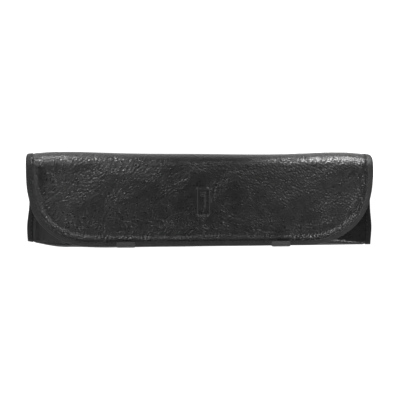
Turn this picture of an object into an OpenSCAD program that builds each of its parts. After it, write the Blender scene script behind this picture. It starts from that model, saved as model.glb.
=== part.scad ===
// Flap-over pencil case, lying closed on its back.
// A leather panel makes the flat back, turns up round a soft fold into a pillow-shaped
// pocket, and carries on from the back as a spine and a padded flap. The pocket is bound
// to the back along both sides. The flap turns over the pocket and is held shut by two
// magnets inside it. Two webbing tabs on its lower edge are there to pull it open.
// Frame: X along the case, +Y towards the spine, +Z up through the thickness, origin
// under the middle of the case. Millimetres.

/* [Case] */
// Length of the case, over the flap's binding
case_w = 230; // [215:1:245]
// Height of the closed case, from the pull tabs to the spine
case_h = 63.4; // [61:0.2:70]
// Thickness of the closed case
case_t = 18; // [17.5:0.5:21]
// How far the pocket's bound sides stand inside the flap's sides
body_inset = 1; // [0.5:0.1:3]
// From the outside of the spine down to the pocket's mouth
mouth_drop = 14.7; // [13:0.1:20]
// From the flap's lower edge up to the middle of the pocket's lower fold
fold_in = 5.8; // [5.7:0.1:6.5]
// Length over which the pocket swells from its flat bound sides
swell_len = 25; // [18:1:40]

/* [Flap] */
// Half length of the straight part of the flap's lower edge
flap_straight = 72; // [62:1:85]
// Height of the flap's rounded corners
corner_h = 40; // [30:1:42]
// How far the flap's sides come down from its middle
side_droop = 2.5; // [1:0.1:3]
// How far the flap's lower edge comes down from its middle
end_droop = 4; // [3:0.1:4.5]

/* [Layers] */
// Thickness of the leather
leather_t = 1.2; // [1:0.1:1.3]
// Thickness of the lining cloth
lining_t = 0.4; // [0.3:0.05:0.45]
// Thickness of the board in the back
board_t = 0.8; // [0.6:0.1:0.9]
// Thickness of the foam in the flap
foam_t = 0.8; // [0.7:0.05:0.9]
// Thickness of the stiff cloth behind the pocket's leather
interlining_t = 0.5; // [0.45:0.05:0.55]
// Thickness of the binding tape
tape_t = 0.4; // [0.3:0.05:0.45]
// How far the binding tape reaches in from an edge
tape_w = 3.7; // [3:0.1:5]

/* [Closure] */
// Width of a pull tab
tab_w = 12.3; // [10:0.1:14]
// Thickness of the pull tabs' webbing
tab_t = 0.7; // [0.5:0.05:0.75]
// Distance between the middles of the two pull tabs
tab_pitch = 103; // [90:1:106]
// How far the pair of tabs is sewn to the right of the middle
tab_shift = 2.9; // [0:0.1:4]
// Diameter of the magnets and of the plates that they close on
magnet_d = 10; // [8:0.5:10]

/* [Hidden] */
$fn = 64;

LEATHER = "#242425";
LINING = "#3a3a3e";
TAPE = "#303032";
STEEL = "#a8a8a6";

glue = 0.05;                     // gap between two layers that are sewn or glued together
slack = 0.15;                    // the same between curved layers with edges in other places
clearance = 0.45;                // gap between the closed flap and the pocket
top_y = case_h / 2;              // outside of the spine
low_y = -case_h / 2;             // outside of the pull tabs
half_w = case_w / 2;

// Each of the two creases beside the spine lies this far in from both outer faces
// that meet there. The share makes the leather as long open as it is round the fold.
crease_in = 0.215 * case_t / 2;
crease_y = top_y - crease_in;
spine_gap = 0.15;                // between a crease and the spine's layers
panel_end = crease_y - 1;        // where the back's and the flap's layers end
stiff_end = panel_end - 5;       // where the board and the foam end, clear of the bend

// The back's layers, upwards from the outside
board_z = leather_t + glue;
back_lining_z = board_z + board_t + glue;

// The pocket's layers, inwards from the outside
interlining_in = leather_t + glue;
pocket_lining_in = interlining_in + interlining_t + 2 * glue;
pocket_depth = pocket_lining_in + lining_t;
front_from = 1.15;               // the interlining starts here, past the lower fold

// The bound sides of the back and the pocket
bare_edge_t = board_z + lining_t;           // height of the back alone
edge_t = bare_edge_t + glue + pocket_depth; // height of the back and the pocket
body_w = half_w - body_inset;               // half length over the binding
edge_x = body_w - tape_t - glue;            // half length of the layers in the binding
flat_x = body_w - tape_w - 2 * glue;        // the sides are flat outside this
board_x = flat_x - 6;                       // half length of the board
lining_slope = 3;                           // the lining runs down beside the board over this

// The flap's layers, inwards from the outside
flap_z = case_t - tape_t - slack;           // top of the flap's leather at the spine
flap_lining_edge = leather_t + glue;        // the lining's outer face in the binding
foam_room = foam_t + 2 * slack - glue;      // how much further in it is over the foam
flap_depth = flap_lining_edge + foam_room + lining_t;
flap_edge_depth = flap_lining_edge + lining_t;
tab_depth = flap_edge_depth + slack + tape_t + glue + tab_t;
foam_taper = 8;                             // the foam gets thinner over this
foam_edge = tape_w + 4;                     // from the flap's edge to the foam's

// The flap's outline
flap_low = low_y + tab_t + glue;
corner_y = flap_low + corner_h;
corner_w = half_w - flap_straight;
droop_from = 0.52 * half_w;                 // the sides start to come down here
droop_len = 25;                             // the droop is full this far from the spine

// The pocket's outline
mouth_y = top_y - mouth_drop;
fold_y = flap_low + fold_in;

// The tabs and the closure
tab_x = tab_pitch / 2;
tab_up = 3.2;                    // length of a tab's leg outside the flap
tab_down = 7;                    // length of its leg inside the flap
magnet_y = flap_low + 18;
magnet_t = foam_t;
striker_t = interlining_t - 0.15;
punch = 0.6;                     // how much wider the holes for magnets and plates are

// Grid steps of the curved layers
corner_rows = 11;
side_rows = 4;
low_steps = 12;                  // steps of the binding along the straight lower edge
fold_rows = 8;
front_rows = 8;
flap_insets = [0, tape_w, 12, 24, 36];
swell_cols = 6;
pocket_insets = concat([0], [for (i = [0:swell_cols]) edge_x - flat_x + swell_len * i / swell_cols]);
mid_cols = 4;

function ease(t) = let (s = min(1, max(0, t))) s * s * (3 - 2 * s);

// Places across a row that is w wide to each side of the middle
function columns(w, insets) =
    let (
        inner = w - insets[len(insets) - 1],
        half = concat([for (d = insets) w - d], [for (i = [1:mid_cols]) inner * (1 - i / mid_cols)])
    )
    concat([for (x = half) -x], [for (i = [len(half) - 2:-1:0]) half[i]]);

// --- The flap's surface ---

// Outside of the flap's leather: level at the spine, lower at the sides and at the end
function flap_top(x, y) =
    flap_z
    - side_droop * ease((abs(x) - droop_from) / (half_w - droop_from)) * ease((panel_end - y) / droop_len)
    - end_droop * pow(max(0, -y) / -flap_low, 2);

// How much of the foam's thickness there is at a place: none in the binding
function padding(x, y) =
    let (
        across = max(0, abs(x) - flap_straight) / corner_w,
        down = max(0, corner_y - y) / corner_h
    )
    ease((corner_h * (1 - norm([across, down])) - tape_w) / foam_taper);

// Depth of the flap lining's outer face
function flap_lining_in(x, y) = flap_lining_edge + foam_room * padding(x, y);

// The flap's right-hand edge from the lower edge up: [x, y] moved in by an inset
function flap_edge(row, inset, end = panel_end) =
    let (
        a = 90 * (1 - row / corner_rows),
        out = [cos(a) / corner_w, -sin(a) / corner_h]
    )
    row <= corner_rows
        ? [flap_straight + corner_w * cos(a), corner_y - corner_h * sin(a)] - inset * out / norm(out)
        : [half_w - inset, corner_y + (end - corner_y) * (row - corner_rows) / side_rows];

function flap_places(inset, end) = [
    for (row = [0:corner_rows + side_rows])
        let (edge = flap_edge(row, inset, end))
        [for (x = columns(edge[0], flap_insets)) [x, edge[1]]]
];

// --- The pocket's surface ---

// How full the pocket is: 0 at its bound sides and 1 in its middle
function fullness(x) = ease((flat_x - abs(x)) / swell_len);

// Outside heights of the pocket over its lower fold and at its mouth, under the closed flap
function fold_z(x) =
    let (room = flap_top(x, fold_y) - tab_depth - foam_room * padding(x, fold_y) - clearance)
    edge_t + (room - edge_t) * fullness(x);
function mouth_z(x) =
    let (room = flap_top(x, mouth_y) - flap_depth - tape_t - glue - clearance)
    edge_t + (room - edge_t) * fullness(x);

// The pocket's outside: t from 0 to 1 goes up round the fold, and from 1 to 2 to the mouth
function pocket_at(x, t) =
    let (r = fold_z(x) / 2)
    t <= 1
        ? [x, fold_y - r * sin(180 * t), r - r * cos(180 * t)]
        : [x, fold_y + (mouth_y - fold_y) * (t - 1), 2 * r + (mouth_z(x) - 2 * r) * ease(t - 1)];

// A place in the pocket's wall, moved in from the outside by a depth
function pocket_in(x, t, depth) =
    let (
        d = 0.01,
        across = pocket_at(x + d, t) - pocket_at(x - d, t),
        along = pocket_at(x, min(2, t + d)) - pocket_at(x, max(0, t - d)),
        out = cross(across, along)
    )
    pocket_at(x, t) - depth * out / norm(out);

// Depth of the lining's outer face: close to the leather round the fold
function pocket_lining_at(t) =
    interlining_in + (pocket_lining_in - interlining_in) * ease((t - 1) / (front_from - 1));

// Steps from one place along the pocket's wall to the mouth
function pocket_steps(from) = concat(
    from < 1 ? [for (i = [0:fold_rows - 1]) i / fold_rows] : [],
    [for (i = [0:front_rows]) let (start = max(1, from)) start + (2 - start) * i / front_rows]
);

// --- Solids from rows of points ---

// A curved layer between two grids of the same size
module layer(outside, inside) {
    cols = len(outside[0]);
    last = (len(outside) - 1) * cols;
    count = last + cols;
    rim = concat(
        [for (i = [0:cols - 2]) i],
        [for (i = [cols - 1:cols:last]) i],
        [for (i = [count - 1:-1:last + 1]) i],
        [for (i = [last:-cols:cols]) i]
    );
    polyhedron(
        points = concat([for (row = outside) each row], [for (row = inside) each row]),
        faces = concat(
            [for (r = [0:cols:last - cols], i = [r:r + cols - 2]) each [
                [i, i + cols, i + cols + 1],
                [i, i + cols + 1, i + 1]
            ]],
            [for (r = [count:cols:count + last - cols], i = [r:r + cols - 2]) each [
                [i, i + cols + 1, i + cols],
                [i, i + 1, i + cols + 1]
            ]],
            [for (k = [0:len(rim) - 1]) let (a = rim[k], b = rim[(k + 1) % len(rim)]) each [
                [a, b, b + count],
                [a, b + count, a + count]
            ]]
        )
    );
}

// The outline of a tape folded over an edge: in from the edge, and up and down from it.
// Its points go along the upper leg, down the edge and back along the lower leg.
function tape_outline(above, below, gap) = [
    [tape_w, above + tape_t], [-gap, above + tape_t], [-gap, below - tape_t], [tape_w, below - tape_t],
    [tape_w, below], [tape_t - gap, below], [tape_t - gap, above], [tape_w, above]
];

// A folded tape, from its outline at each of a row of places along an edge
module tape_along(rings) {
    n = len(rings[0]);
    last = (len(rings) - 1) * n;
    legs = [[0, 1, 6, 7], [1, 2, 5, 6], [2, 3, 4, 5]];
    polyhedron(
        points = [for (ring = rings) each ring],
        faces = concat(
            [for (leg = legs) [for (i = [3:-1:0]) leg[i]]],
            [for (leg = legs) [for (i = leg) last + i]],
            [for (k = [0:n:last - n], i = [0:n - 1]) let (j = (i + 1) % n) each [
                [k + i, k + j, k + n + j],
                [k + i, k + n + j, k + n + i]
            ]]
        )
    );
}

module flap_layer(inset, outer, inner, end = panel_end) {
    places = flap_places(inset, end);
    layer(
        [for (row = places) [for (p = row) [p[0], p[1], flap_top(p[0], p[1]) - outer(p)]]],
        [for (row = places) [for (p = row) [p[0], p[1], flap_top(p[0], p[1]) - inner(p)]]]
    );
}

module pocket_layer(from, outer, inner) {
    steps = pocket_steps(from);
    across = columns(edge_x, pocket_insets);
    layer(
        [for (t = steps) [for (x = across) pocket_in(x, t, outer(t))]],
        [for (t = steps) [for (x = across) pocket_in(x, t, inner(t))]]
    );
}

module plate(half_length, y_from, y_to, z_from, z_to) {
    translate([-half_length, y_from, z_from])
        cube([2 * half_length, y_to - y_from, z_to - z_from]);
}

// An outline drawn in Y and Z, made solid along X
module along_x(from, length) {
    translate([from, 0, 0]) rotate([90, 0, 90]) linear_extrude(length) children();
}

// An outline drawn in X and Z, made solid along Y
module along_y(from, to) {
    translate([0, to, 0]) rotate([90, 0, 0]) linear_extrude(to - from) children();
}

// A disc that lies at a slope along Y
module disc(place, slope, d, t) {
    translate(place) rotate([atan(slope), 0, 0]) cylinder(d = d, h = t, center = true);
}

// Places of the two magnets and plates, -1 for the left and 1 for the right
function closure_x(side) = tab_shift + side * tab_x;

module magnet_disc(side, d, t) {
    x = closure_x(side);
    slope = (flap_top(x, magnet_y + 1) - flap_top(x, magnet_y - 1)) / 2;
    disc([x, magnet_y, flap_top(x, magnet_y) - leather_t - slack - foam_t / 2], slope, d, t);
}

module striker_disc(side, d, t) {
    x = closure_x(side);
    along = 1 + (magnet_y - fold_y) / (mouth_y - fold_y);
    step = pocket_at(x, along + 0.02) - pocket_at(x, along - 0.02);
    disc(pocket_in(x, along, interlining_in + interlining_t / 2), step[2] / step[1], d, t);
}

// --- The back ---

module back_leather() color(LEATHER) difference() {
    plate(edge_x, fold_y + glue, panel_end, 0, leather_t);
    for (side = [0, 1]) mirror([side, 0, 0])
        translate([body_w - tape_w - glue, fold_y - 1, -1])
            cube([tape_w, case_h, 1 + tape_t + glue]);
}

module back_board() color("#8a6f4c")
    plate(board_x, fold_y + 1, stiff_end, board_z, board_z + board_t);

module back_lining() color(LINING) along_y(fold_y + glue, panel_end) {
    side = [[board_x + glue, back_lining_z], [board_x + lining_slope, board_z], [edge_x, board_z]];
    low = concat([for (i = [2:-1:0]) [-side[i][0], side[i][1]]], side);
    polygon(concat(low, [for (i = [5:-1:0]) low[i] + [0, lining_t]]));
}

// --- The pocket ---

module pocket_leather() color(LEATHER)
    pocket_layer(0, function (t) 0, function (t) leather_t);

module pocket_interlining() color("#5a5a58") difference() {
    pocket_layer(front_from, function (t) interlining_in, function (t) interlining_in + interlining_t);
    for (side = [-1, 1]) striker_disc(side, magnet_d + punch, 4 * interlining_t);
}

module pocket_lining() color(LINING)
    pocket_layer(0, function (t) pocket_lining_at(t), function (t) pocket_lining_at(t) + lining_t);

module mouth_tape() color(TAPE) {
    across = [for (x = columns(edge_x, pocket_insets)) if (abs(x) < board_x) x];
    outline = tape_outline(glue, -pocket_depth - glue, tape_t + glue);
    tape_along([for (x = across) [
        for (p = outline)
            pocket_in(x, 2 - max(0, p[0]) / (mouth_y - fold_y), -p[1]) - [0, min(0, p[0]), 0]
    ]]);
}

module side_tape() color(TAPE) {
    for (stretch = [[fold_y, mouth_y, edge_t], [mouth_y, panel_end, bare_edge_t]])
        along_y(stretch[0], stretch[1])
            polygon([for (p = tape_outline(stretch[2] + glue, tape_t, 0)) [body_w - p[0], p[1]]]);
}

module side_tape_left() mirror([1, 0, 0]) side_tape();
module side_tape_right() side_tape();

module striker_left() color(STEEL) striker_disc(-1, magnet_d, striker_t);
module striker_right() color(STEEL) striker_disc(1, magnet_d, striker_t);

// --- The spine ---

module spine_layer(half_length, y_out, thickness)
    plate(half_length, y_out - thickness, y_out, crease_in + spine_gap, case_t - crease_in - spine_gap);

spine_leather_y = top_y - tape_t - glue;
spine_lining_y = spine_leather_y - leather_t - glue;
spine_edge_x = half_w - tape_t - glue;

module spine_leather() color(LEATHER) spine_layer(spine_edge_x, spine_leather_y, leather_t);

module spine_lining() color(LINING) spine_layer(spine_edge_x, spine_lining_y, lining_t);

module spine_tape() color(TAPE)
    translate([0, 0, crease_in + spine_gap])
        linear_extrude(case_t - 2 * (crease_in + spine_gap))
            polygon([
                for (p = tape_outline(spine_leather_y + glue, spine_lining_y - lining_t - glue, 0))
                    [half_w - p[0], p[1]]
            ]);

module spine_tape_left() mirror([1, 0, 0]) spine_tape();
module spine_tape_right() spine_tape();

// --- The flap ---

module flap_leather() color(LEATHER)
    flap_layer(tape_t + glue, function (p) 0, function (p) leather_t);

module flap_foam() color("#d8cfae") difference() {
    flap_layer(
        foam_edge,
        function (p) leather_t + slack,
        function (p) flap_lining_in(p[0], p[1]) - slack,
        stiff_end
    );
    for (side = [-1, 1]) magnet_disc(side, magnet_d + punch, 4 * foam_t);
}

module flap_lining() color(LINING)
    flap_layer(
        tape_t + glue,
        function (p) flap_lining_in(p[0], p[1]),
        function (p) flap_lining_in(p[0], p[1]) + lining_t
    );

module flap_tape() color(TAPE) {
    rows = corner_rows + side_rows;
    outline = tape_outline(slack, -flap_edge_depth - slack, 0);
    right = [for (row = [0:rows]) [flap_edge(row, 0), flap_edge(row, 0) - flap_edge(row, 1)]];
    left = [for (row = [rows:-1:0]) [for (v = right[row]) [-v[0], v[1]]]];
    low = [for (i = [1:low_steps - 1]) [[flap_straight * (2 * i / low_steps - 1), flap_low], [0, -1]]];
    tape_along([for (at = concat(left, low, right)) [
        for (p = outline)
            let (q = at[0] - p[0] * at[1])
            [q[0], q[1], flap_top(q[0], q[1]) + p[1]]
    ]]);
}

// --- The closure ---

// A place at an inset from the flap's lower edge, so far above the leather's outside or,
// where up is negative, below it with the foam left out
function tab_place(x, inset, up) =
    let (y = flap_low + inset)
    [y, flap_top(x, y) + up - (up > 0 ? 0 : foam_room * padding(x, y))];

// Webbing folded over the flap's lower edge, outside its binding
module pull_tab(side) color("#4a4a4c") {
    x = closure_x(side);
    over = slack + tape_t + glue;
    under = tab_t - tab_depth;
    round = -glue - tab_t;
    outline = [
        [tab_up, over + tab_t], [0, over + tab_t], [round, over], [round, under],
        [0, under - tab_t], [tape_w, under - tab_t], [tab_down, under - tab_t],
        [tab_down, under], [tape_w, under], [-glue, under], [-glue, over], [tab_up, over]
    ];
    along_x(x - tab_w / 2, tab_w)
        polygon([for (p = outline) tab_place(x, p[0], p[1])]);
}

module pull_tab_left() pull_tab(-1);
module pull_tab_right() pull_tab(1);

module magnet_left() color(STEEL) magnet_disc(-1, magnet_d, magnet_t);
module magnet_right() color(STEEL) magnet_disc(1, magnet_d, magnet_t);

back_leather();
back_board();
back_lining();
pocket_leather();
pocket_interlining();
pocket_lining();
mouth_tape();
side_tape_left();
side_tape_right();
striker_left();
striker_right();
spine_leather();
spine_lining();
spine_tape_left();
spine_tape_right();
flap_leather();
flap_foam();
flap_lining();
flap_tape();
pull_tab_left();
pull_tab_right();
magnet_left();
magnet_right();
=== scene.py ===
"""The visual model of a flap-over leather pencil case, built round its CAD frame.

The case lies closed on its back: X along it, +Y towards the spine, +Z out of the flap.
Shapes are worked out in millimetres and turned into metres when a mesh is made.
"""

import math

import bmesh
import bpy
import numpy as np
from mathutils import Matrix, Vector


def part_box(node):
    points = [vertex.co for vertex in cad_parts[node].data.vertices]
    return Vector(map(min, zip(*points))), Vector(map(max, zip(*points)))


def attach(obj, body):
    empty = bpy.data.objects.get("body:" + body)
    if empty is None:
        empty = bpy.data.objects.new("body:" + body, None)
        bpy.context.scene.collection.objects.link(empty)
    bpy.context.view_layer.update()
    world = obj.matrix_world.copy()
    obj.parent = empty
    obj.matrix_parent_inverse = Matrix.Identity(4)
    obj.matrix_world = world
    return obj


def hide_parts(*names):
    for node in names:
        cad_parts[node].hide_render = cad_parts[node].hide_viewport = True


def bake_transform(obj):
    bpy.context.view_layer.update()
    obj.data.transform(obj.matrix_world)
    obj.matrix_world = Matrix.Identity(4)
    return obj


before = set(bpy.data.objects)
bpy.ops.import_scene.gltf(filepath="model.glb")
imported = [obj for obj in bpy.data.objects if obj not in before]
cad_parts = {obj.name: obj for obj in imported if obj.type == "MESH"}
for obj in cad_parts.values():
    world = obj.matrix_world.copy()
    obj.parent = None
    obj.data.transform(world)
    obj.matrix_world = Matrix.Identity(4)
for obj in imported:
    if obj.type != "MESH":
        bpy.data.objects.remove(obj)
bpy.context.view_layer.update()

# --- Sizes, in millimetres ---

MM = 0.001
X, Y, Z = 0, 1, 2


def low(node, axis):
    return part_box(node)[0][axis] / MM


def high(node, axis):
    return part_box(node)[1][axis] / MM


# The case and its layers
HALF_W = high("flap_tape", X)
BODY_W = high("side_tape_right", X)
TOP_Y = high("spine_tape_right", Y)
LEATHER = high("spine_leather", Y) - high("spine_lining", Y)
LINING_FROM = 1.25          # depth of the lining behind the leather's outside
LINING_T = 0.4
PANEL_IN = 0.5              # how far the panels end inside the binding's outline
SKIVE = 0.5                 # how much thinner the leather is under the binding

# The fold at the spine: an arc from the flap's top to the back
ARC_R = 9
ARC_Y = TOP_Y - ARC_R
ARC_END = ARC_Y + ARC_R * math.pi / 2
SPINE_Y = 30.45             # the outermost line of the spine, before its waves
SPINE_WAVES = [(-88, 34, 1.35), (90, 22, 1.0), (38, 30, -0.4)]   # middle, spread, height
SPINE_ENDS = (95, 18, 0.5)  # the spine's ends fall back: from, over, by
END_ROUND = (1.1, 3.0)      # how far the left and right sides draw in round the spine

# The flap
FLAP_Z = high("flap_leather", Z)
FLAP_LOW = low("flap_tape", Y)
FLAP_STRAIGHT = 72
CORNER_H = 40
CORNER_Y = FLAP_LOW + CORNER_H
CORNER_W = HALF_W - FLAP_STRAIGHT
PANEL_END = high("flap_leather", Y)
SIDE_DROOP = 2.5            # how much lower the flap lies at its sides
END_DROOP = 4               # and at its lower edge
DROOP_FROM = 0.52 * HALF_W
DROOP_LEN = 25              # the sides' droop grows over this from the flap's top
FLAP_TILT = 0.008           # the lower edge rises towards the right by this share
FLAP_SHIFT = -0.1           # how far the lower edge lies above its CAD place
FLAP_WAIST = ((1.0, 0.5), 0, 10)      # how far the left and right sides draw in, at y, over
FLAP_WIDEN = ((0.0, -0.6), 18, 10)    # and how far they spread below the spine
FOAM_ROOM = 1.05            # how much further in the lining lies over the foam
FOAM_TAPER = 8
FOAM_EDGE = 7.7
FOAM_T = 0.8
PAD_END = ARC_Y + 10        # from this s on the linings lie against the leather again
PAD_TAPER = 8
SWELL = (7.4, 2.8, 0.85)    # beside the binding: its inset, spread and height
WAVES_FROM = 3.5            # the broad waves start at this inset

# The pocket
MOUTH_Y = high("pocket_leather", Y)
FOLD_Y = -25.15
FLAT_X = BODY_W - 3.8
FULL_LEN = 25               # the pocket fills out over this from its sides
SIDE_T = 3.95               # thickness of the bound side beside the pocket
BARE_T = 2.1                # thickness of the bound side above the pocket
JOIN_Y = -19                # the back panel ends and the pocket panel starts here
FOLD_OUT = -31.25           # the outermost line of the lower fold, at its middle
FOLD_TILT = 0.0125
FOLD_LIFTS = [(60, 25, 0.7), (88, 36, 5.2)]   # the fold's left end lifts: from, over, by
BODY_WAIST = ((1.0, 0.2), 0, 12)      # how far the left and right sides draw in, at y, over
BODY_BULGE = ((-0.8, -0.95), -18, 9)  # and how far they stand out beside the pocket
BOARD_X = 104.2
BOARD_TAPER = 3.8
BOARD_ROOM = 0.85           # how much further in the lining lies over the board
TAB_ROOM = 3.6              # room for the flap's layers and a tab over the lower fold
MOUTH_ROOM = 3.6            # room for the flap's layers and the binding over the mouth
POCKET_LAYERS = (1.25, 1.75, 1.8, 2.2)   # depths of the interlining and of the lining
LINING_LOW = -24.5          # the back's lining starts here

# The binding and its stitching
TAPE_W = 3.7
TAPE_GROOVE = 0.3           # the groove beside the binding
MOUTH_OVER = 0.45           # how far the mouth's binding stands past the mouth
THREAD_UP = 0.03            # how far the stitches' middles lie above the binding
STITCH_IN = 2.95
STITCH_PITCH = 2.6
STITCH_LEN = 1.9
STITCH_R = 0.16

# The pull tabs
TAB_PITCH = 1.74            # from rib to rib
TAB_RIB = 0.1
TAB_HALF_T = 0.28
TAB_OVER = 0.5              # height over the flap's binding
TAB_UNDER = 2.62            # depth of the tab's lower leg

# The stamp
MARK_AT = (2.45, -1.5)
MARK_HALF = (4.0, 9.2)
MARK_CORNER = 1.4
MARK_DEPTH = 0.38
MARK_LINE = 0.4
MARK_RAMP = 0.9
MARK_FADE = 1.2             # the grain is pressed flat inside the frame, and returns over this
PENCIL_HALF = 1.5
PENCIL_Y = (6.2, 4.4, -3.0, -6.8)        # its end, its band, its neck and its tip


# --- Numbers ---


def ease(t):
    """From 0 to 1 as t is, with level ends."""
    s = np.clip(t, 0, 1)
    return s * s * (3 - 2 * s)


def hump(x, middle, spread):
    """A bell of height 1 round the middle."""
    return np.exp(-(((x - middle) / spread) ** 2))


def noise(x, y, pitch, seed):
    """Smooth noise from -1 to 1, with features about one pitch across."""
    table = np.random.RandomState(seed).uniform(-1, 1, (64, 64))
    i, j = np.floor(x / pitch).astype(int), np.floor(y / pitch).astype(int)
    u, v = ease(x / pitch - i), ease(y / pitch - j)

    def at(a, b):
        return table[(i + a) % 64, (j + b) % 64]

    near, far = at(0, 0) * (1 - u) + at(1, 0) * u, at(0, 1) * (1 - u) + at(1, 1) * u
    return near * (1 - v) + far * v


def by_side(x, pair):
    """The pair's first value on the left and its second on the right."""
    return np.where(x < 0, pair[0], pair[1])


def stacked(x, y, z):
    """Points from their coordinates."""
    return np.stack(np.broadcast_arrays(x, y, z), axis=-1)


# --- Surfaces: the leather's outside as a function of x and s ---
# s is y, and past ARC_Y it is the length along the arc round the spine.


def flap_plain(x, y):
    """Height of the flap's outside without its waves, as in the CAD."""
    side = SIDE_DROOP * ease((np.abs(x) - DROOP_FROM) / (HALF_W - DROOP_FROM))
    end = END_DROOP * (np.maximum(0, -y) / -FLAP_LOW) ** 2
    return FLAP_Z - side * ease((PANEL_END - y) / DROOP_LEN) - end


def side_half(x, s, flat):
    """Half width over the binding on the side of x: it draws in round the spine."""
    a = np.maximum(0, s - ARC_Y) / ARC_R
    return flat - (by_side(x, END_ROUND) + flat - HALF_W) * (1 - np.cos(a)) ** 2


def inset_of(x, s):
    """How far a place on the flap is from the flap's edge."""
    drawn = HALF_W - side_half(x, s, HALF_W)
    out = np.maximum(0, np.abs(x) + drawn - FLAP_STRAIGHT) / CORNER_W
    down = np.maximum(0, CORNER_Y - s) / CORNER_H
    return CORNER_H * (1 - np.hypot(out, down))


def foam_rise(x, s):
    """1 over the flap's foam, 0 at its edges."""
    return ease((inset_of(x, s) - TAPE_W) / FOAM_TAPER) * ease((PAD_END - s) / PAD_TAPER)


def waves(x, s):
    """How far the padded flap's leather stands proud of its plain surface: soft unevenness."""
    broad = 0.8 * noise(x + 0.6 * s, s - 0.35 * x, pitch=29, seed=5)
    broad = broad + 0.5 * noise(x - 0.8 * s, s + 0.3 * x, pitch=15, seed=11)
    return (broad + 0.2) * ease((ARC_Y + 5 - s) / 12) * ease((inset_of(x, s) - WAVES_FROM) / 9)


def spine_y(x):
    """The outermost line of the spine."""
    start, over, by = SPINE_ENDS
    y = SPINE_Y - by * ease((np.abs(x) - start) / over)
    for middle, spread, height in SPINE_WAVES:
        y = y + height * hump(x, middle, spread)
    return y


def drawn_in(x, y, by, middle, spread):
    """x with the ends pulled in by a left and a right amount round y = middle."""
    return x - np.sign(x) * by_side(x, by) * hump(y, middle, spread) * (np.abs(x) / HALF_W) ** 5


def body_x(x, y):
    """x on the case, drawn in at its waist and spread beside the pocket."""
    return drawn_in(drawn_in(x, y, *BODY_WAIST), y, *BODY_BULGE)


def flap_base(x, s):
    """The flap and the upper half of the spine, without relief."""
    slide = (FLAP_TILT * x + FLAP_SHIFT) * ease((CORNER_Y - s) / CORNER_H)
    y = np.minimum(s, ARC_Y) + slide
    a = np.maximum(0, s - ARC_Y) / ARC_R
    z = flap_plain(x, y)
    over = y + (spine_y(x) - ARC_Y) * np.sin(a)
    x = drawn_in(drawn_in(x, s, *FLAP_WAIST), s, *FLAP_WIDEN)
    return stacked(x, over, z * (1 + np.cos(a)) / 2)


def back_base(x, s):
    """The back and the lower half of the spine, without relief."""
    a = np.maximum(0, s - ARC_Y) / ARC_R
    top = flap_plain(x, ARC_Y)
    over = np.minimum(s, ARC_Y) + (spine_y(x) - ARC_Y) * np.sin(a)
    return stacked(body_x(x, s), over, top * (1 - np.cos(a)) / 2)


def fullness(x):
    """1 where the pocket is full, down to 0 at its bound sides."""
    return ease((FLAT_X - np.abs(x)) / FULL_LEN)


def fold_height(x):
    """Thickness of the pocket at its lower fold."""
    return SIDE_T + (flap_plain(x, FOLD_Y) - TAB_ROOM - SIDE_T) * fullness(x)


def mouth_height(x):
    """Height of the pocket's front at its mouth."""
    return SIDE_T + (flap_plain(x, MOUTH_Y) - MOUTH_ROOM - SIDE_T) * fullness(x)


def fold_out(x):
    """The outermost line of the pocket's lower fold."""
    y = FOLD_OUT + FOLD_TILT * x
    for start, over, by in FOLD_LIFTS:
        y = y + by * ease((-x - start) / over)
    return y


def pocket_base(x, t):
    """t from -1 to 0 runs along the back to the fold, to 1 round it, and to 2 on to the mouth."""
    r = fold_height(x) / 2
    middle = fold_out(x) + r
    a = np.pi * np.clip(t, 0, 1)
    back = np.maximum(-t, 0)
    front = np.maximum(t - 1, 0)
    y = middle - r * np.sin(a) + back * (JOIN_Y - middle) + front * (MOUTH_Y - middle)
    z = r - r * np.cos(a) + (mouth_height(x) - 2 * r) * ease(front)
    return stacked(body_x(x, y), y, z)


def points_on(surface, x, v, depth=0.0, turn=1, step=0.02):
    """Places at a depth below a surface. turn is -1 where dx crossed with dv points inwards."""
    x, v, depth = np.broadcast_arrays(*(np.asarray(a, float) for a in (x, v, depth)))
    dx = surface(x + step, v) - surface(x - step, v)
    dv = surface(x, v + step) - surface(x, v - step)
    n = turn * np.cross(dx, dv)
    n = n / np.linalg.norm(n, axis=-1, keepdims=True)
    return surface(x, v) - n * depth[..., None]


# --- Meshes ---


def add_object(name, points, faces, material, sharp=50):
    """A smooth-shaded object from points in millimetres."""
    mesh = bpy.data.meshes.new(name)
    points = np.asarray(points, float).reshape(-1, 3)
    mesh.from_pydata((points * MM).tolist(), [], faces)
    rest = mesh.attributes.new("rest_mm", "FLOAT_VECTOR", "POINT")
    rest.data.foreach_set("vector", points.astype(np.float32).ravel())
    mesh.shade_smooth()
    mesh.set_sharp_from_angle(angle=math.radians(sharp))
    mesh.materials.append(material)
    obj = bpy.data.objects.new(name, mesh)
    bpy.context.scene.collection.objects.link(obj)
    return obj


def outward(obj):
    """Turns a closed mesh's faces outwards."""
    bm = bmesh.new()
    bm.from_mesh(obj.data)
    bmesh.ops.recalc_face_normals(bm, faces=bm.faces)
    bm.to_mesh(obj.data)
    bm.free()
    return obj


def grid_faces(rows, cols, start, flip):
    """Quads over a grid whose first point has the index start."""
    i = (np.arange(rows - 1)[:, None] * cols + np.arange(cols - 1)[None, :]).ravel() + start
    quads = np.stack([i, i + 1, i + 1 + cols, i + cols], axis=1)
    return (quads[:, ::-1] if flip else quads).tolist()


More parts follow.
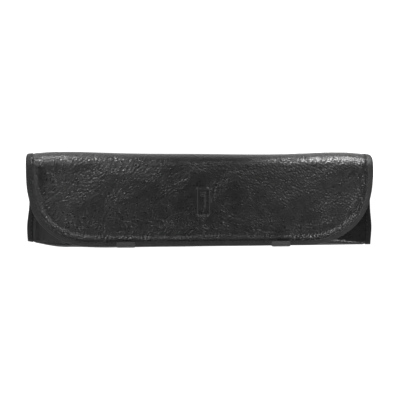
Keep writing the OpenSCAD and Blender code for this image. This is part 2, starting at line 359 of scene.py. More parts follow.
def shell(name, outer, inner, material, flip=False):
    """A closed sheet between two grids of one size. flip is for rows that run the other way."""
    rows, cols = outer.shape[:2]
    count = rows * cols
    index = np.arange(count).reshape(rows, cols)
    rim = np.concatenate([index[0, :-1], index[:-1, -1], index[-1, :0:-1], index[:0:-1, 0]])
    after = np.roll(rim, -1)
    walls = np.stack([rim, rim + count, after + count, after], axis=1)
    faces = grid_faces(rows, cols, 0, flip) + grid_faces(rows, cols, count, not flip)
    faces += (walls[:, ::-1] if flip else walls).tolist()
    points = np.concatenate([outer.reshape(-1, 3), inner.reshape(-1, 3)])
    return add_object(name, points, faces, material)


def loft(name, rings, material, sharp=50):
    """A closed outline carried through a row of rings, with capped ends."""
    rings = np.asarray(rings)
    count, n = rings.shape[:2]
    i = np.arange(count - 1)[:, None] * n + np.arange(n)[None, :]
    j = np.arange(count - 1)[:, None] * n + (np.arange(n)[None, :] + 1) % n
    faces = np.stack([i, j, j + n, i + n], axis=-1).reshape(-1, 4).tolist()
    faces += [list(range(n - 1, -1, -1)), list(range((count - 1) * n, count * n))]
    return outward(add_object(name, rings, faces, material, sharp))


def resample(path, pitch):
    """A path of points stepped evenly, about one pitch apart."""
    path = np.asarray(path, float)
    run = np.concatenate([[0], np.cumsum(np.linalg.norm(np.diff(path, axis=0), axis=1))])
    at = np.linspace(0, run[-1], max(2, int(round(run[-1] / pitch)) + 1))
    return np.stack([np.interp(at, run, path[:, k]) for k in range(path.shape[1])], axis=1)


def stitches(name, path, ups, material):
    """A row of sewn threads along a path on a surface. ups are the surface's normals there."""
    along = np.linspace(-0.5, 0.5, 7)
    fat = np.array([0.35, 0.8, 1, 1, 1, 0.8, 0.35]) * STITCH_R
    lift = np.array([-0.14, -0.02, 0.06, 0.08, 0.06, -0.02, -0.14])
    rings, sides = len(along), 8
    turn = np.linspace(0, 2 * math.pi, sides, endpoint=False)
    points, faces = [], []
    for k in range(1, len(path) - 1):
        up = ups[k] / np.linalg.norm(ups[k])
        go = path[k + 1] - path[k - 1]
        go = go / np.linalg.norm(go)
        side = np.cross(up, go)
        start = len(points) * rings * sides
        middle = path[k] + go * (along[:, None] * STITCH_LEN) + up * lift[:, None]
        ring = np.cos(turn)[:, None] * side + np.sin(turn)[:, None] * up
        points.append((middle[:, None, :] + fat[:, None, None] * ring[None]).reshape(-1, 3))
        for r in range(rings - 1):
            for c in range(sides):
                a, b = start + r * sides + c, start + r * sides + (c + 1) % sides
                faces.append([a, b, b + sides, a + sides])
        end = start + (rings - 1) * sides
        faces += [list(range(start + sides - 1, start - 1, -1)), list(range(end, end + sides))]
    return outward(add_object(name, np.concatenate(points), faces, material))


# --- Materials ---


class Nodes:
    """A short way to write a material's nodes."""

    def __init__(self, name):
        self.material = bpy.data.materials.new(name)
        self.material.use_nodes = True
        self.tree = self.material.node_tree
        self.shader = self.tree.nodes["Principled BSDF"]
        rest = self.tree.nodes.new("ShaderNodeAttribute")
        rest.attribute_name = "rest_mm"
        self.rest = rest.outputs["Vector"]

    def set(self, socket, value):
        if isinstance(value, bpy.types.NodeSocket):
            self.tree.links.new(value, socket)
        elif value is not None:
            socket.default_value = value

    def new(self, kind, out, inputs=(), **options):
        node = self.tree.nodes.new("ShaderNode" + kind)
        for key, value in options.items():
            setattr(node, key, value)
        for key, value in dict(inputs).items():
            self.set(node.inputs[key], value)
        return node.outputs[out]

    def math(self, operation, a, b=None, c=None):
        return self.new("Math", 0, {0: a, 1: b, 2: c}, operation=operation)

    def place(self, stretch=(1, 1, 1), turn=0.0):
        """Texture places turned by some degrees and then stretched along their own axes."""
        inputs = {"Vector": self.rest, "Scale": stretch, "Rotation": (0, 0, math.radians(turn))}
        return self.new("Mapping", 0, inputs, vector_type="TEXTURE")

    def parts(self):
        x = self.tree.nodes.new("ShaderNodeSeparateXYZ")
        self.set(x.inputs[0], self.rest)
        return x.outputs

    def use_object_space(self):
        """Texture places for meshes that have no rest_mm, in millimetres too."""
        self.rest = self.new("TexCoord", "Object")
        self.rest = self.place((MM, MM, MM))

    def noise(self, scale, detail=3.0, at=None, rough=0.55):
        inputs = {"Vector": at or self.rest, "Scale": scale, "Detail": detail, "Roughness": rough}
        return self.new("TexNoise", "Fac", inputs)

    def cells(self, scale, at=None, out="Distance", feature="DISTANCE_TO_EDGE"):
        inputs = {"Vector": at or self.rest, "Scale": scale}
        return self.new("TexVoronoi", out, inputs, feature=feature)

    def span(self, value, low, high, to_low=0.0, to_high=1.0):
        inputs = {0: value, 1: low, 2: high, 3: to_low, 4: to_high}
        return self.new("MapRange", 0, inputs)

    def mix(self, share, a, b):
        return self.new("Mix", "Result", {"Factor": share, "A": a, "B": b})

    def color(self, share, a, b):
        node = self.tree.nodes.new("ShaderNodeMix")
        node.data_type = "RGBA"
        self.set(node.inputs["Factor"], share)
        for key, value in (("A", a), ("B", b)):
            socket = [s for s in node.inputs if s.name == key and s.type == "RGBA"][0]
            self.set(socket, value)
        return [s for s in node.outputs if s.type == "RGBA"][0]

    def bump(self, height, depth, below=None):
        """A bump whose height of 1 stands depth millimetres proud."""
        inputs = {"Height": height, "Distance": depth * MM, "Strength": 1.0, "Normal": below}
        return self.new("Bump", 0, inputs)

    def finish(self, color, roughness, normal, **constants):
        self.set(self.shader.inputs["Base Color"], color)
        self.set(self.shader.inputs["Roughness"], roughness)
        self.set(self.shader.inputs["Normal"], normal)
        for key, value in constants.items():
            self.shader.inputs[key.replace("_", " ")].default_value = value
        return self.material


def grey(value, warm=1.0):
    """A linear grey, a little warmer where warm is over 1."""
    return (value * warm, value, value / warm, 1)


def make_leather(name, depth, gloss):
    """Pebbled leather, its grain slanting one way on the left and the other on the right.

    The grain is depth deep, and weaker inside the stamp on the flap's face.
    """
    n = Nodes(name)
    x, y, z = n.parts()
    wander = n.span(n.noise(0.03), 0.3, 0.7, -60, 60)
    side = n.span(n.math("ADD", x, wander), -35, 35)    # 0 on the left and 1 on the right
    left, right = n.place((0.85, 1.25, 1.0), -46), n.place((0.85, 1.2, 1.0), 50)
    left_pitch, right_pitch = 0.62, 0.64
    edge = n.mix(side, n.cells(left_pitch, left), n.cells(right_pitch, right))
    dome = n.mix(side, n.cells(left_pitch, left, feature="F1"),
                 n.cells(right_pitch, right, feature="F1"))
    pebble = n.span(edge, 0.0, 0.22)
    fine = n.noise(2.2, 2.0)
    broad = n.noise(0.05, 2.0)
    patch = n.noise(0.28, 3.0)
    height = n.math("SUBTRACT", n.math("MULTIPLY", pebble, 0.12), n.math("MULTIPLY", dome, 1.25))
    height = n.math("ADD", height, n.math("MULTIPLY", fine, 0.06))
    strength = n.span(n.noise(0.1, 2.0), 0.35, 0.65, 0.72, 1.12)
    across, along = (
        n.span(n.math("ABSOLUTE", n.math("SUBTRACT", place, at)), half, half + MARK_FADE)
        for place, at, half in zip((x, y), MARK_AT, MARK_HALF))
    unpressed = n.math("MAXIMUM", n.math("MAXIMUM", across, along), n.span(z, 9, 8))
    strength = n.math("MULTIPLY", strength, n.span(unpressed, 0, 1, 0.3, 1.0))
    normal = n.bump(n.math("MULTIPLY", height, strength), depth)
    normal = n.bump(patch, 0.2, normal)
    tone = n.math("MULTIPLY", n.span(pebble, 0, 1, 0.6, 1.0), n.span(broad, 0.3, 0.7, 0.7, 1.0))
    color = n.color(tone, grey(0.003), grey(0.009, 1.02))
    rough = n.math("ADD", n.span(pebble, 0, 1, 0.4, 0.28), n.span(patch, 0.3, 0.7, -0.04, 0.05))
    return n.finish(color, rough, normal, Specular_IOR_Level=gloss)


def make_binding(name, shade):
    """Woven tape with little shine."""
    n = Nodes(name)
    at = n.place(turn=45)
    wave = {"Vector": at, "Scale": 0.62, "Distortion": 0.6, "Detail": 1.0}
    weave = n.new("TexWave", "Fac", wave)
    fuzz = n.noise(3.4, 2.0)
    patch = n.noise(0.16, 2.0)
    height = n.math("ADD", n.math("MULTIPLY", weave, 0.5), n.math("MULTIPLY", fuzz, 0.6))
    normal = n.bump(height, 0.05)
    color = n.color(n.span(patch, 0.3, 0.7), grey(0.6 * shade), grey(shade))
    rough = n.span(fuzz, 0.3, 0.7, 0.5, 0.62)
    return n.finish(color, rough, normal, Sheen_Weight=0.08, Sheen_Roughness=0.4,
                    Specular_IOR_Level=0.25)


def make_webbing():
    """Ribbed webbing, with strands across the rib."""
    n = Nodes("webbing")
    x = n.parts()[0]
    strand = n.math("SINE", n.math("MULTIPLY", x, 2 * math.pi / 0.62))
    fuzz = n.noise(4.0, 2.0)
    height = n.math("ADD", n.span(strand, -1, 1), n.math("MULTIPLY", fuzz, 0.8))
    color = n.color(n.span(fuzz, 0.3, 0.7), grey(0.02), grey(0.046))
    return n.finish(color, n.span(strand, -1, 1, 0.62, 0.48), n.bump(height, 0.06),
                    Sheen_Weight=0.4, Sheen_Roughness=0.35)


def make_lining():
    """Plain-woven cloth with slubs."""
    n = Nodes("lining")
    x, y, z = n.parts()
    warp = n.math("SINE", n.math("MULTIPLY", x, 2 * math.pi / 0.55))
    weft = n.math("SINE", n.math("MULTIPLY", n.math("ADD", y, z), 2 * math.pi / 0.55))
    weave = n.math("MULTIPLY", warp, weft)
    patch = n.noise(0.09, 3.0)
    slub = n.noise(1.4, 2.0, n.place((5.0, 0.5, 0.5)))
    height = n.math("ADD", n.span(weave, -1, 1), n.math("MULTIPLY", slub, 0.5))
    normal = n.bump(patch, 0.6, n.bump(height, 0.04))
    color = n.color(n.span(slub, 0.3, 0.7), grey(0.014), grey(0.026, 0.98))
    return n.finish(color, n.span(patch, 0.3, 0.7, 0.5, 0.64), normal,
                    Sheen_Weight=0.3, Sheen_Roughness=0.3)


def make_thread():
    """Twisted thread."""
    n = Nodes("thread")
    twist = n.new("TexWave", "Fac", {"Vector": n.place(turn=35), "Scale": 1.4})
    patch = n.noise(0.4, 2.0)
    color = n.color(patch, grey(0.010), grey(0.024))
    return n.finish(color, n.span(twist, 0, 1, 0.42, 0.56), n.bump(twist, 0.04))


def make_felted(name, dark, light, scale, depth, roughness):
    """Board, bonded cloth and foam: a fine random structure."""
    n = Nodes(name)
    n.use_object_space()
    fine, broad = n.noise(scale, 4.0), n.noise(scale / 12, 2.0)
    pores = n.cells(scale / 2, feature="F1")
    color = n.color(n.math("MULTIPLY", fine, n.span(broad, 0.3, 0.7, 0.7, 1.2)), dark, light)
    return n.finish(color, n.span(fine, 0.3, 0.7, roughness - 0.08, roughness + 0.08),
                    n.bump(n.math("ADD", fine, pores), depth))


def make_steel():
    """Brushed nickel plate."""
    n = Nodes("nickel_plate")
    n.use_object_space()
    brushed = n.noise(2.0, 3.0, n.place((5, 0.2, 1)))
    spots = n.noise(0.5, 2.0)
    color = n.color(spots, grey(0.42, 1.02), grey(0.6, 1.03))
    return n.finish(color, n.span(brushed, 0.3, 0.7, 0.22, 0.4), n.bump(brushed, 0.01),
                    Metallic=1.0)


leather = make_leather("leather", 0.225, 0.5)
pocket_hide = make_leather("pocket_leather", 0.09, 0.34)
binding = make_binding("binding", 0.022)
# A darker copy of the binding tape for the side bindings: its darker tone is painted shade, the
# tape being the same
binding_painted_shade = make_binding("binding_painted_shade", 0.01)
webbing = make_webbing()
lining = make_lining()
thread = make_thread()
board = make_felted("fibreboard", grey(0.16, 1.25), grey(0.34, 1.22), 1.6, 0.05, 0.85)
bonded = make_felted("bonded_cloth", grey(0.30), grey(0.5), 2.4, 0.06, 0.9)
foam = make_felted("foam", grey(0.05), grey(0.13), 1.2, 0.12, 0.9)
steel = make_steel()

for node, finish in (("back_board", board), ("magnet_left", steel), ("magnet_right", steel),
                     ("striker_left", steel), ("striker_right", steel)):
    for material_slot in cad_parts[node].material_slots:
        material_slot.material = finish


# --- Grids for the panels ---


ACROSS = 231                # columns of the back and of the pocket
ROUND = 34                  # rows round the spine or round the lower fold


def columns():
    """Places across the flap at its full half width, closer together over the stamp."""
    start, end = -4.2, 9.2
    coarse, fine = 0.8, 0.22
    return np.concatenate([
        np.arange(-HALF_W, start, coarse), np.arange(start, end, fine),
        np.arange(end, HALF_W, coarse), [HALF_W],
    ])


def fitted(column, half):
    """Columns drawn in to a half width, without moving the middle ones."""
    keep = 55               # columns nearer to the middle than this stay
    out = np.abs(column) - keep
    wide = keep + out * (half - keep) / (HALF_W - keep)
    return np.where(out > 0, np.sign(column) * wide, column)


def flap_rows(inset):
    """Rows up the flap from an edge set in from its outline, as s and the corners' half width."""
    h, w = CORNER_H - inset, CORNER_W - inset
    level = 58              # down to this many degrees the corner's rows are evenly turned
    turn = np.radians(np.concatenate([np.arange(90, level, -1.6), [level]]))
    low_s = CORNER_Y - h * np.sin(turn)
    s = np.concatenate([low_s, np.arange(low_s[-1] + 0.35, CORNER_Y, 0.3),
                        np.arange(CORNER_Y, ARC_Y, 0.42), np.linspace(ARC_Y, ARC_END, ROUND)])
    down = np.clip((CORNER_Y - s) / h, 0, 1)
    half = np.where(s < CORNER_Y, FLAP_STRAIGHT + w * np.sqrt(np.maximum(0, 1 - down ** 2)), 0)
    return s, half


def flap_grid(inset, top=None):
    """x and s of a grid over the flap up to the spine's middle, or up to a row given by top."""
    s, half = flap_rows(inset)
    if top is not None:
        keep = s < top
        s, half = np.append(s[keep], top), np.append(half[keep], 0)
    column = columns()[None, :]
    s = s[:, None]
    full = side_half(column, s, HALF_W) - inset
    x = fitted(column, np.where(s < CORNER_Y, half[:, None], full))
    return x, np.broadcast_to(s, x.shape)


def case_grid(rows, inset):
    """x and s of a grid over the back."""
    column = np.linspace(-HALF_W, HALF_W, ACROSS)[None, :]
    s = np.asarray(rows, float)[:, None]
    x = column / HALF_W * (side_half(column, s, BODY_W) - inset)
    return x, np.broadcast_to(s, x.shape)


def under_tape(inset):
    """How deep the leather lies under the binding: down to SKIVE, with a groove beside it."""
    return SKIVE * (1 - ease(inset - TAPE_W - TAPE_GROOVE))


# --- The stamp: a pencil in a rounded frame, pressed into the leather ---


def segment(x, y, a, b):
    """Distance to a line from a to b."""
    dx, dy = b[0] - a[0], b[1] - a[1]
    t = np.clip(((x - a[0]) * dx + (y - a[1]) * dy) / (dx * dx + dy * dy), 0, 1)
    return np.hypot(x - a[0] - t * dx, y - a[1] - t * dy)


def stamp(x, y):
    """How deep the mark is pressed in: the frame's line, and the pencil but for its band."""
    u, v = x - MARK_AT[0], y - MARK_AT[1]
    ax, ay = np.abs(u) - MARK_HALF[0] + MARK_CORNER, np.abs(v) - MARK_HALF[1] + MARK_CORNER
    box = np.hypot(np.maximum(ax, 0), np.maximum(ay, 0))
    box = box + np.minimum(np.maximum(ax, ay), 0) - MARK_CORNER
    end, band, neck, tip = PENCIL_Y
    taper = PENCIL_HALF * np.clip((v - tip) / (neck - tip), 0, 1)
    pencil = np.maximum(np.abs(u) - taper, v - end)
    frame_line = 1 - ease((np.abs(box) - MARK_LINE + MARK_RAMP / 2) / MARK_RAMP)
    recess = (1 - ease((pencil + MARK_RAMP / 2) / MARK_RAMP)) * ease((np.abs(v - band) - 0.1) / 0.5)
    return MARK_DEPTH * np.maximum(frame_line, recess)


# --- The flap and the upper half of the spine ---


CREASES = [((-27, -13.2), (-20.5, -16.4)), ((-24.5, -18.2), (-18.5, -15.6)),
           ((-30, -17), (-25.5, -19.2))]


def creases(x, s):
    """Depth of the fine creases: some where a noise crosses zero, and three straight ones."""
    n = noise(x + 0.35 * s, s - 0.25 * x, pitch=7.5, seed=21)
    n = n + 0.35 * noise(x, s, pitch=3.4, seed=23)
    where = ease((noise(x, s, pitch=26, seed=29) - 0.05) / 0.4)
    depth = 0.075 * np.exp(-((n / 0.055) ** 2)) * where
    for a, b in CREASES:
        depth = depth + 0.12 * np.exp(-((segment(x, s, a, b) / 0.35) ** 2))
    return depth


def flap_relief(x, s):
    """Depth of the flap's face below its plain surface."""
    inset = inset_of(x, s)
    middle, spread, height = SWELL
    swell = height * hump(inset, middle, spread) * ease((ARC_Y + 6 - s) / 12)
    pucker = 0.07 * noise(x + s, x - s, pitch=4.2, seed=3) * hump(inset, 6, 2.6)
    crease = creases(x, s) * ease((inset - TAPE_W - 1.2) / 2)
    return under_tape(inset) - swell - pucker + crease + stamp(x, s) - waves(x, s)


def flap_lining_depth(x, s):
    """How deep the lining lies: further in over the foam."""
    return LINING_FROM + FOAM_ROOM * foam_rise(x, s)


x, s = flap_grid(PANEL_IN)
flap_face = points_on(flap_base, x, s, flap_relief(x, s))
flap_leather = shell("visual_flap_leather", flap_face,
                     points_on(flap_base, x, s, LEATHER - waves(x, s)), leather)

depth = flap_lining_depth(x, s)
flap_lining = shell("visual_flap_lining", points_on(flap_base, x, s, depth),
                    points_on(flap_base, x, s, depth + LINING_T), lining)

x, s = flap_grid(FOAM_EDGE, ARC_Y + 0.8)
foam_from = LEATHER + 0.08
flap_foam = shell("visual_flap_foam", points_on(flap_base, x, s, foam_from - waves(x, s)),
                  points_on(flap_base, x, s, foam_from + FOAM_T), foam)


def flap_outline(inset, pitch):
    """The flap's outline at an inset, from the spine's left end to its right, as rows of (x, s)."""
    h, w = CORNER_H - inset, CORNER_W - inset
    arm = np.linspace(ARC_END, CORNER_Y, 120)
    turn = np.radians(np.linspace(0, 90, 90))[1:]
    paths = []
    for side in (-1, 1):
        arm_x = side * (side_half(side, arm, HALF_W) - inset)
        bend_x, bend_s = side * (FLAP_STRAIGHT + w * np.cos(turn)), CORNER_Y - h * np.sin(turn)
        bend = np.stack([bend_x, bend_s], axis=1)
        paths.append(np.concatenate([np.stack([arm_x, arm], axis=1), bend]))
    return resample(np.concatenate([paths[0], paths[1][::-1]]), pitch)


def inward(path):
    """Directions into the flap from an outline that runs from left to right below it."""
    go = np.gradient(path, axis=0)
    n = np.stack([-go[:, 1], go[:, 0]], axis=1)
    return n / np.linalg.norm(n, axis=1, keepdims=True)


# The binding's cut: (inset, depth) round the edge of the layers, first outside and then inside
FLAP_CUT = [(3.68, 0.1), (3.4, 0.0), (2.0, -0.06), (0.85, 0.0), (0.3, 0.2), (0.03, 0.65),
            (0.03, 1.45), (0.3, 1.93), (0.85, 2.13), (3.7, 2.15), (3.7, 1.72), (0.45, 1.7),
            (0.45, 0.46), (3.65, 0.46)]
FLAP_CUT_LOW = 1.6          # deeper than this the binding lies on the lining


def flap_ring(place, into):
    """The binding's cut at a place on the flap's edge."""
    inset, depth = np.array(FLAP_CUT).T
    x, s = place[0] + into[0] * inset, place[1] + into[1] * inset
    rise = foam_rise(x, s) * FOAM_ROOM
    return points_on(flap_base, x, s, depth + np.where(depth > FLAP_CUT_LOW, rise, 0))


edge = flap_outline(0, 1.0)
into = inward(edge)
into[0], into[-1] = (1, 0), (-1, 0)
flap_binding = loft("visual_flap_binding",
                    [flap_ring(place, way) for place, way in zip(edge, into)], binding)

x, s = flap_outline(STITCH_IN, STITCH_PITCH).T
ups = points_on(flap_base, x, s, -1.0) - points_on(flap_base, x, s)
flap_stitches = stitches("visual_flap_stitches", points_on(flap_base, x, s, -THREAD_UP), ups,
                         thread)


# --- The pull tabs: ribbed webbing folded round the flap's lower edge ---


def pull_tab(name, middle, width):
    """A strip whose cut runs along (inset, depth) over the flap's edge and back under it."""
    over, under = TAB_OVER, TAB_UNDER
    bend = [(-0.32 - 0.14 * math.sin(a), (over + under) / 2 - math.cos(a))
            for a in np.linspace(0.5, 2.64, 9)]
    upper = [(3.2, -over + 0.02), (0.9, -over), (0.15, -over + 0.16)]
    lower = [(0.15, under + 0.02), (0.9, under + 0.12), (4.2, under + 0.16), (7.0, under + 0.7)]
    path = resample(upper + bend + lower, 0.12)
    run = np.concatenate([[0], np.cumsum(np.linalg.norm(np.diff(path, axis=0), axis=1))])
    go = np.gradient(path, axis=0)
    out = np.stack([go[:, 1], -go[:, 0]], axis=1) / np.linalg.norm(go, axis=1, keepdims=True)
    count = 25              # points across each face
    u = np.concatenate([np.linspace(-1, 1, count), np.linspace(1, -1, count)])
    face = np.repeat([1, -1], count)
    rings = []
    for k in range(len(path)):
        ends = min(1, 0.55 + min(run[k], run[-1] - run[k]) / 0.5)
        rib = TAB_RIB * math.cos(2 * math.pi * (run[k] - 0.9) / TAB_PITCH)
        half_t = (TAB_HALF_T + rib) * ends * (1 - 0.5 * np.abs(u) ** 14)
        inset = path[k, 0] - out[k, 0] * half_t * face
        depth = path[k, 1] - out[k, 1] * half_t * face
        x = middle + u * width / 2 * (1 + 0.012 * math.cos(2 * math.pi * run[k] / TAB_PITCH))
        rings.append(points_on(flap_base, x, FLAP_LOW + inset, depth))
    return loft(name, rings, webbing, 70)


tabs = []
for side in ("left", "right"):
    node = "pull_tab_" + side
    middle, width = (low(node, X) + high(node, X)) / 2, high(node, X) - low(node, X)
    tabs.append(pull_tab("visual_" + node, middle, width))


# --- The back and the lower half of the spine ---


def back_lining_depth(x, s):
    """How deep the lining lies: further in over the board."""
    end = BOARD_X + 4.5
    board_rise = ease((end - np.abs(x)) / BOARD_TAPER) * ease((PAD_END - s) / PAD_TAPER)
    return LINING_FROM + BOARD_ROOM * board_rise


def back_relief(x, s):
    """Depth of the back's leather below its plain surface."""
    return under_tape(side_half(x, s, BODY_W) - np.abs(x))


def back_rows(start):
    """Rows up the back to the spine's middle."""
    return np.concatenate([np.arange(start, ARC_Y, 1.2), np.linspace(ARC_Y, ARC_END, ROUND)])


x, s = case_grid(back_rows(JOIN_Y), PANEL_IN)
back_face = points_on(back_base, x, s, back_relief(x, s), -1)
back_leather = shell("visual_back_leather", back_face,
                     points_on(back_base, x, s, LEATHER, -1), leather, flip=True)

x, s = case_grid(back_rows(LINING_LOW), PANEL_IN)
depth = back_lining_depth(x, s)
lining_face = points_on(back_base, x, s, depth + LINING_T, -1)
back_lining = shell("visual_back_lining", points_on(back_base, x, s, depth, -1), lining_face,
                    lining, flip=True)


# --- The pocket ---


def pocket_grid(turns, inset):
    """x and t of a grid over the pocket."""
    column = np.linspace(-1, 1, ACROSS)[None, :]
    t = np.asarray(turns, float)[:, None]
    return np.broadcast_arrays(column * (BODY_W - inset), t)


def mouth_inset(t):
    """How far a place on the pocket's front is from the mouth."""
    return (2 - t) * (MOUTH_Y - FOLD_Y)


def pocket_relief(x, t):
    """Depth of the pocket's leather below its plain surface."""
    side = under_tape(BODY_W - np.abs(x))
    front = t > 1
    mouth = np.where(front, under_tape(mouth_inset(t)), 0)
    y = pocket_base(x, t)[..., 1]
    loose = 0.12 * noise(x, y, pitch=13, seed=31) * ease((t - 0.2) / 0.6)
    loose = loose * ease((BODY_W - np.abs(x) - 5) / 4)
    return np.maximum(side, mouth) + loose * ease((mouth_inset(t) - 5) / 4)


near_mouth = 1.88           # the rows are closer together from here to the mouth
turns = np.concatenate([np.linspace(-1, 0, 9)[:-1], np.linspace(0, 1, ROUND)[:-1],
                        np.linspace(1, near_mouth, 40)[:-1], np.linspace(near_mouth, 2, 22)])
x, t = pocket_grid(turns, PANEL_IN)
pocket_face = points_on(pocket_base, x, t, pocket_relief(x, t))
pocket_leather = shell("visual_pocket_leather", pocket_face,
                       points_on(pocket_base, x, t, LEATHER), pocket_hide)

x, t = pocket_grid(np.linspace(1.15, 1.985, 44), PANEL_IN)
layers = [points_on(pocket_base, x, t, depth) for depth in POCKET_LAYERS]
interlining = shell("visual_pocket_interlining", layers[0], layers[1], bonded)
pocket_lining = shell("visual_pocket_lining", layers[2], layers[3], lining)

# (inset from the mouth, depth) round the edge of the pocket's layers
MOUTH_CUT = [(3.68, 0.1), (3.4, 0.0), (2.0, -0.05), (0.85, 0.0), (0.3, 0.2), (0.05, 0.7),
             (0.05, 2.0), (0.3, 2.5), (0.85, 2.68), (3.7, 2.7), (3.7, 2.26), (0.0, 2.25),
             (0.0, 0.46), (3.65, 0.46)]


def mouth_ring(x):
    """The binding's cut at a place along the mouth."""
    inset, depth = np.array(MOUTH_CUT).T
    t = 2 - (inset - MOUTH_OVER) / (MOUTH_Y - FOLD_Y)
    return points_on(pocket_base, x, t, depth)


mouth_x = np.linspace(-FLAT_X + 0.05, FLAT_X - 0.05, 201)
mouth_binding = loft("visual_mouth_binding", [mouth_ring(x) for x in mouth_x], binding)

row = np.arange(-FLAT_X + 1.2, FLAT_X - 1, STITCH_PITCH)
t = 2 - (STITCH_IN - MOUTH_OVER) / (MOUTH_Y - FOLD_Y)
ups = points_on(pocket_base, row, t, -1.0) - points_on(pocket_base, row, t)
mouth_stitches = stitches("visual_mouth_stitches", points_on(pocket_base, row, t, -THREAD_UP),
                          ups, thread)


# --- The side bindings: round the back's edge, and the pocket's edge with it ---

# (inset, share of the thickness, how far inside the binding's outer face)
SIDE_CUT = [(3.68, 0, 0.1), (3.4, 0, 0), (2.0, 0, 0), (0.85, 0, 0), (0.3, 0, 0.2),
            (0.03, 0.25, 0.2), (0.03, 0.75, -0.2), (0.3, 1, -0.2), (0.85, 1, 0), (2.0, 1, 0.06),
            (3.4, 1, 0), (3.68, 1, -0.1), (3.65, 1, -0.46), (0.45, 1, -0.46), (0.45, 0, 0.46),
            (3.65, 0, 0.46)]
FOLD_RUN = 30               # s runs on by this from JOIN_Y to the lower fold's outermost line


def side_thickness(s):
    """Thickness of the bound side: more beside the pocket."""
    return BARE_T + (SIDE_T - BARE_T) * ease((MOUTH_Y + 1.6 - s) / 2.2)


def side_ring(side, s):
    """The binding's cut across a side, down the back and round the lower fold."""
    inset, share, inside = np.array(SIDE_CUT).T
    x = side * (side_half(side, s, BODY_W) - inset)
    if s > JOIN_Y:
        return points_on(back_base, x, s, share * side_thickness(s) + inside, -1)
    out = fold_out(x)
    y = JOIN_Y + (JOIN_Y - s) / FOLD_RUN * (out - JOIN_Y)
    r = SIDE_T / 2
    reach = np.maximum(0, r - (y - out)) / r
    squeeze = np.sqrt(np.maximum(0, 1 - reach ** 2))
    z = r + (share * SIDE_T + inside - r) * squeeze
    return stacked(body_x(x, y), y, z)


bindings, side_stitches = [], []
run = np.concatenate([np.linspace(ARC_END, ARC_Y, 24), np.linspace(ARC_Y, JOIN_Y, 70)[1:],
                      JOIN_Y - FOLD_RUN * np.sin(np.radians(np.linspace(0, 89.2, 40)))[1:]])
for name, side in (("left", -1), ("right", 1)):
    # the side bindings take the darker copy of the binding tape, whose darker tone is painted shade
    bindings.append(loft("visual_side_binding_" + name, [side_ring(side, s) for s in run], binding_painted_shade))
    row = np.arange(JOIN_Y - 8, ARC_Y, STITCH_PITCH)
    seam_x = side * (BODY_W - STITCH_IN)
    for height, turn, label in ((side_thickness(row) + THREAD_UP, 1, "front"),
                                (-THREAD_UP, -1, "back")):
        path = points_on(back_base, seam_x, row, height, -1)
        ups = np.tile([0.0, 0.0, float(turn)], (len(row), 1))
        side_stitches.append(stitches(f"visual_side_stitches_{name}_{label}", path, ups, thread))


# --- What each piece rides on; the CAD parts that the pieces replace are hidden ---

for piece in (flap_leather, flap_lining, flap_binding, flap_stitches):
    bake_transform(piece)
for piece in (back_leather, back_lining, *bindings):
    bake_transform(piece)
for piece in (flap_foam, *tabs):
    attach(piece, "flap")
for piece in (pocket_leather, interlining, pocket_lining, mouth_binding, mouth_stitches,
              *side_stitches):
    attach(piece, "case")

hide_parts("flap_leather", "spine_leather")
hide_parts("flap_lining", "spine_lining")
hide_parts("flap_foam")
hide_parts("flap_tape", "spine_tape_left", "spine_tape_right")
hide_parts("pull_tab_left")
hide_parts("pull_tab_right")
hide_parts("back_leather")
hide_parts("back_lining")
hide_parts("pocket_leather")
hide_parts("pocket_interlining")
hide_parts("pocket_lining")
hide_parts("mouth_tape")
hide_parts("side_tape_left")
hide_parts("side_tape_right")

points_on(flap_base, *flap_grid(PANEL_IN))


# --- Floor, light and camera ---

scene = bpy.context.scene
scene.view_settings.view_transform = "Standard"


def make_floor():
    n = Nodes("paper")
    n.rest = n.new("TexCoord", "Object")
    fibre = n.noise(900, 3.0)
    color = n.color(fibre, grey(0.32), grey(0.38))
    material = n.finish(color, n.span(fibre, 0.3, 0.7, 0.85, 0.95), n.bump(fibre, 0.01))
    n.shader.inputs["Emission Color"].default_value = (1, 1, 1, 1)
    n.shader.inputs["Emission Strength"].default_value = 0.95
    n.shader.inputs["Specular IOR Level"].default_value = 0.0
    return material


floor_mesh = bpy.data.meshes.new("floor")
floor_mesh.from_pydata([(-3, -3, 0), (3, -3, 0), (3, 3, 0), (-3, 3, 0)], [], [(0, 1, 2, 3)])
floor_mesh.materials.append(make_floor())
floor = bpy.data.objects.new("floor", floor_mesh)
floor.location.z = -0.0004
scene.collection.objects.link(floor)


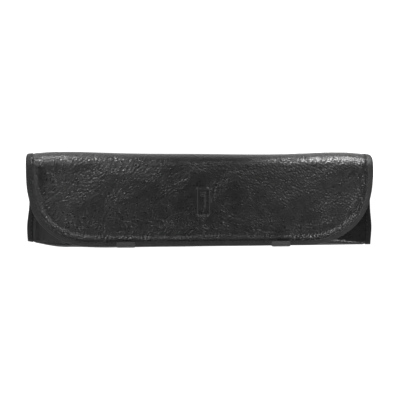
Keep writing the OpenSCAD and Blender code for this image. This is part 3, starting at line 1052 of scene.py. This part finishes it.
def make_world(middle, ring, back, right):
    """Soft studio light that grows brighter from overhead towards the horizon and the back."""
    world = bpy.data.worlds.new("studio")
    world.use_nodes = True
    tree = world.node_tree

    def new(kind, operation, *inputs):
        node = tree.nodes.new("ShaderNode" + kind)
        node.operation = operation
        for socket, value in zip(node.inputs, inputs):
            if isinstance(value, bpy.types.NodeSocket):
                tree.links.new(value, socket)
            else:
                socket.default_value = value
        return node.outputs[1 if operation == "DOT_PRODUCT" else 0]

    way = tree.nodes.new("ShaderNodeTexCoord").outputs["Generated"]
    flat = new("VectorMath", "MULTIPLY", way, (1, 1, 0))
    round_it = new("VectorMath", "DOT_PRODUCT", flat, flat)
    towards = new("VectorMath", "DOT_PRODUCT", way, (right, back, 0))
    power = new("Math", "MULTIPLY_ADD", round_it, ring, towards)
    level = new("Math", "MULTIPLY", new("Math", "EXPONENT", power), middle)
    tree.links.new(level, tree.nodes["Background"].inputs["Strength"])
    tree.nodes["Background"].inputs["Color"].default_value = (1, 1, 1, 1)
    return world


scene.world = make_world(0.13, 0.8, 0.6, -0.1)


def softbox(name, at, aim, size, watts, spread):
    """A rectangular area light turned towards a place."""
    data = bpy.data.lights.new(name, "AREA")
    data.shape = "RECTANGLE"
    data.size, data.size_y = size
    data.energy = watts
    data.spread = math.radians(spread)
    obj = bpy.data.objects.new(name, data)
    scene.collection.objects.link(obj)
    obj.location = at
    obj.rotation_euler = (Vector(at) - Vector(aim)).to_track_quat("Z", "Y").to_euler()


# Name, place and aim in metres, size, watts, spread in degrees
for light in (
    ("high_right", (0.13, 0.17, 0.34), (0.09, 0, 0), (0.12, 0.06), 0.034, 70),
    ("high_left", (-0.15, 0.17, 0.34), (-0.08, 0, 0), (0.12, 0.06), 0.058, 70),
    ("low_right", (0.06, 0.22, 0.13), (0.103, 0.022, 0.018), (0.06, 0.04), 0.042, 28),
    ("low_left", (-0.11, 0.24, 0.1), (-0.1, 0.028, 0.017), (0.05, 0.03), 0.022, 40),
    ("front_right", (0.27, -0.27, 0.28), (0.07, 0.01, 0.016), (0.1, 0.1), 0.03, 30),
    ("front_left", (-0.16, -0.26, 0.3), (-0.06, -0.02, 0.015), (0.2, 0.08), 0.09, 70),
    ("left", (-0.45, -0.05, 0.4), (-0.05, 0.02, 0), (0.4, 0.3), 0.42, 180),
):
    softbox(*light)

# A long lens from high above, so that the view is nearly parallel
camera = bpy.data.objects.new("camera", bpy.data.cameras.new("camera"))
camera.data.sensor_width = 36
camera.data.lens = 405
camera.location = (0.0006, -0.0003, 3.0)
scene.collection.objects.link(camera)
scene.camera = camera
